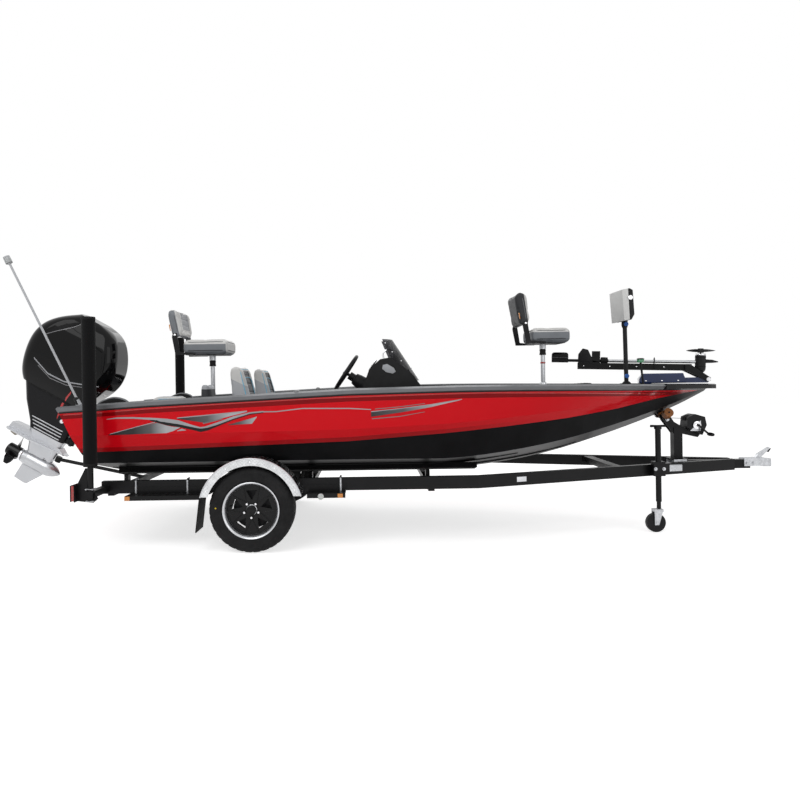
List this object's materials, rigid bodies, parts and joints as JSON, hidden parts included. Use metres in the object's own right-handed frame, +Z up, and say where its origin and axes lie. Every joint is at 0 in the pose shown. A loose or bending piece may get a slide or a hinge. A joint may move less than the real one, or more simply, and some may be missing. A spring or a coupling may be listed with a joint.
{
  "type": "bass boat on road trailer",
  "caption": "Open fishing boat with tilted outboard, pedestal seats and bow electric motor, strapped on its two-wheeled bunk trailer and parked on the tongue jack.",
  "frame": {"origin": "centre of the whole outfit's bounding box, at the floor it stands on", "axes": "+X forward to the bow and the coupler, +Y to port, +Z up"},
  "size_m": [7.1344, 2.48, 2.3075],
  "materials": {
    "gelcoat": "glossy metal-flake red gelcoat with black bottom",
    "black_gloss": "gloss black",
    "black_plastic": "satin black moulding",
    "aluminium": "satin extrusion",
    "black_metal": "gloss black powder coat",
    "tread_plate": "bright tread plate",
    "galvanised": "zinc coated",
    "spring_steel": "dark spring steel",
    "carpet": "marine carpet",
    "black_carpet": "black bunk carpet",
    "vinyl": "cream and grey vinyl",
    "rubber": "black rubber",
    "amber_roller": "amber-brown polyurethane",
    "tyre": "black rubber",
    "wheel_paint": "black face with machined flange",
    "lens": "red and amber lenses",
    "smoked_glass": "smoked acrylic",
    "cast_iron": "plain engine block",
    "webbing": "woven strap"
  },
  "bodies": {
    "boat_on_trailer": {"axle": "black_metal", "bow_cap": "black_gloss", "bow_light": "black_plastic", "bow_rollers": "amber_roller", "bunks": "black_carpet", "clamp_bracket": "black_metal", "cockpit_backrests": "vinyl", "cockpit_cushions": "vinyl", "console": "black_plastic", "coupler": "galvanised", "deck": "carpet", "fenders": "tread_plate", "fishfinder": "black_plastic", "foot_pedal": "black_plastic", "guide_posts": "black_carpet", "gunwale_rail": "aluminium", "hull": "gelcoat", "jack": "galvanised", "lamps": "lens", "leaf_springs": "spring_steel", "mudflaps": "rubber", "pedestals": "black_metal", "post_brackets": "galvanised", "seat_bases": "gelcoat", "side_steps": "black_metal", "stern_handles": "black_gloss", "stern_light": "aluminium", "throttle": "black_plastic", "trailer_frame": "black_metal", "transom_saver": "black_metal", "trolling_base": "black_plastic", "winch": "black_plastic", "winch_stand": "black_metal", "winch_strap": "webbing", "windshield": "smoked_glass"},
    "right_wheel": {"tyre_right": "tyre", "wheel_right": "wheel_paint"},
    "left_wheel": {"tyre_left": "tyre", "wheel_left": "wheel_paint"},
    "jack_caster": {"jack_fork": "galvanised"},
    "jack_roller": {"jack_wheel": "black_plastic"},
    "port_lid": {"lid_port": "carpet"},
    "starboard_lid": {"lid_starboard": "carpet"},
    "aft_lid": {"lid_aft": "carpet"},
    "helm_wheel": {"steering_wheel": "black_plastic"},
    "rear_seat": {"rear_seat_frame": "aluminium", "rear_seat_cushion": "vinyl"},
    "rear_backrest": {"rear_seat_back": "vinyl"},
    "front_seat": {"front_seat_frame": "aluminium", "front_seat_cushion": "vinyl"},
    "front_backrest": {"front_seat_back": "vinyl"},
    "bow_motor_bed": {"trolling_bed": "black_metal"},
    "bow_motor": {"trolling_motor": "black_metal"},
    "bow_motor_propeller": {"trolling_prop": "black_plastic"},
    "outboard_bracket": {"swivel_bracket": "black_metal"},
    "outboard": {"midsection": "black_metal", "cowl": "black_gloss", "powerhead": "cast_iron"},
    "outboard_propeller": {"propeller": "black_metal"}
  },
  "joints": [
    {"name": "right_wheel_spin", "type": "hinge", "parent": "boat_on_trailer", "child": "right_wheel", "pos_m": [-1.0744, -1.03, 0.328], "axis": [0, 1, 0], "continuous": true},
    {"name": "left_wheel_spin", "type": "hinge", "parent": "boat_on_trailer", "child": "left_wheel", "pos_m": [-1.0744, 1.03, 0.328], "axis": [0, 1, 0], "continuous": true},
    {"name": "jack_swivel", "type": "hinge", "parent": "boat_on_trailer", "child": "jack_caster", "pos_m": [2.35238, -0.395, 0.30083], "axis": [-0.0148, 0, 0.9999], "continuous": true},
    {"name": "jack_wheel_spin", "type": "hinge", "parent": "jack_caster", "child": "jack_roller", "pos_m": [2.32362, -0.395, 0.08206], "axis": [0, 1, 0], "continuous": true},
    {"name": "port_lid_hinge", "type": "hinge", "parent": "boat_on_trailer", "child": "port_lid", "pos_m": [0.92844, 0.66, 1.22981], "axis": [-0.9999, 0, -0.0148], "range_deg": [0, 88]},
    {"name": "starboard_lid_hinge", "type": "hinge", "parent": "boat_on_trailer", "child": "starboard_lid", "pos_m": [0.92844, -0.66, 1.22981], "axis": [0.9999, 0, 0.0148], "range_deg": [0, 88]},
    {"name": "aft_lid_hinge", "type": "hinge", "parent": "boat_on_trailer", "child": "aft_lid", "pos_m": [-1.69975, 0.8, 1.08881], "axis": [-0.9999, 0, -0.0148], "range_deg": [0, 88]},
    {"name": "helm_turn", "type": "hinge", "parent": "boat_on_trailer", "child": "helm_wheel", "pos_m": [-0.37097, -0.562, 1.38255], "axis": [0.8372, 0, -0.5468], "range_deg": [-270, 270]},
    {"name": "rear_seat_swivel", "type": "hinge", "parent": "boat_on_trailer", "child": "rear_seat", "pos_m": [-1.63663, 0, 1.55279], "axis": [-0.0148, 0, 0.9999], "continuous": true},
    {"name": "rear_backrest_fold", "type": "hinge", "parent": "rear_seat", "child": "rear_backrest", "pos_m": [-1.92127, 0, 1.72859], "axis": [0, 1, 0], "range_deg": [0, 80]},
    {"name": "front_seat_swivel", "type": "hinge", "parent": "boat_on_trailer", "child": "front_seat", "pos_m": [1.44214, 0, 1.65848], "axis": [-0.0148, 0, 0.9999], "continuous": true},
    {"name": "front_backrest_fold", "type": "hinge", "parent": "front_seat", "child": "front_backrest", "pos_m": [1.23349, 0, 1.8354], "axis": [0, 1, 0], "range_deg": [0, 80]},
    {"name": "bow_motor_deploy", "type": "hinge", "parent": "boat_on_trailer", "child": "bow_motor_bed", "pos_m": [2.97715, 0, 1.33221], "axis": [0.2756, 0.9613, 0.0041], "range_deg": [0, 90]},
    {"name": "bow_motor_slide", "type": "slide", "parent": "bow_motor_bed", "child": "bow_motor", "axis": [0.9611, -0.2755, -0.0206], "range_m": [0, 0.55]},
    {"name": "bow_motor_propeller_spin", "type": "hinge", "parent": "bow_motor", "child": "bow_motor_propeller", "pos_m": [2.92446, 0.01397, 1.59939], "axis": [0.0187, -0.0096, 0.9998], "continuous": true},
    {"name": "outboard_tilt", "type": "hinge", "parent": "boat_on_trailer", "child": "outboard_bracket", "pos_m": [-2.68085, 0, 1.02025], "axis": [0, 1, 0], "range_deg": [0, 40]},
    {"name": "outboard_steering", "type": "hinge", "parent": "outboard_bracket", "child": "outboard", "pos_m": [-2.77784, 0, 1.07214], "axis": [0.4718, 0, 0.8817], "range_deg": [-30, 30]},
    {"name": "outboard_propeller_spin", "type": "hinge", "parent": "outboard", "child": "outboard_propeller", "pos_m": [-3.47022, 0, 0.65778], "axis": [0.8817, 0, -0.4718], "continuous": true}
  ],
  "couplings": [
    {"joint": "helm_turn", "follows": "outboard_steering", "ratio": 9}
  ]
}
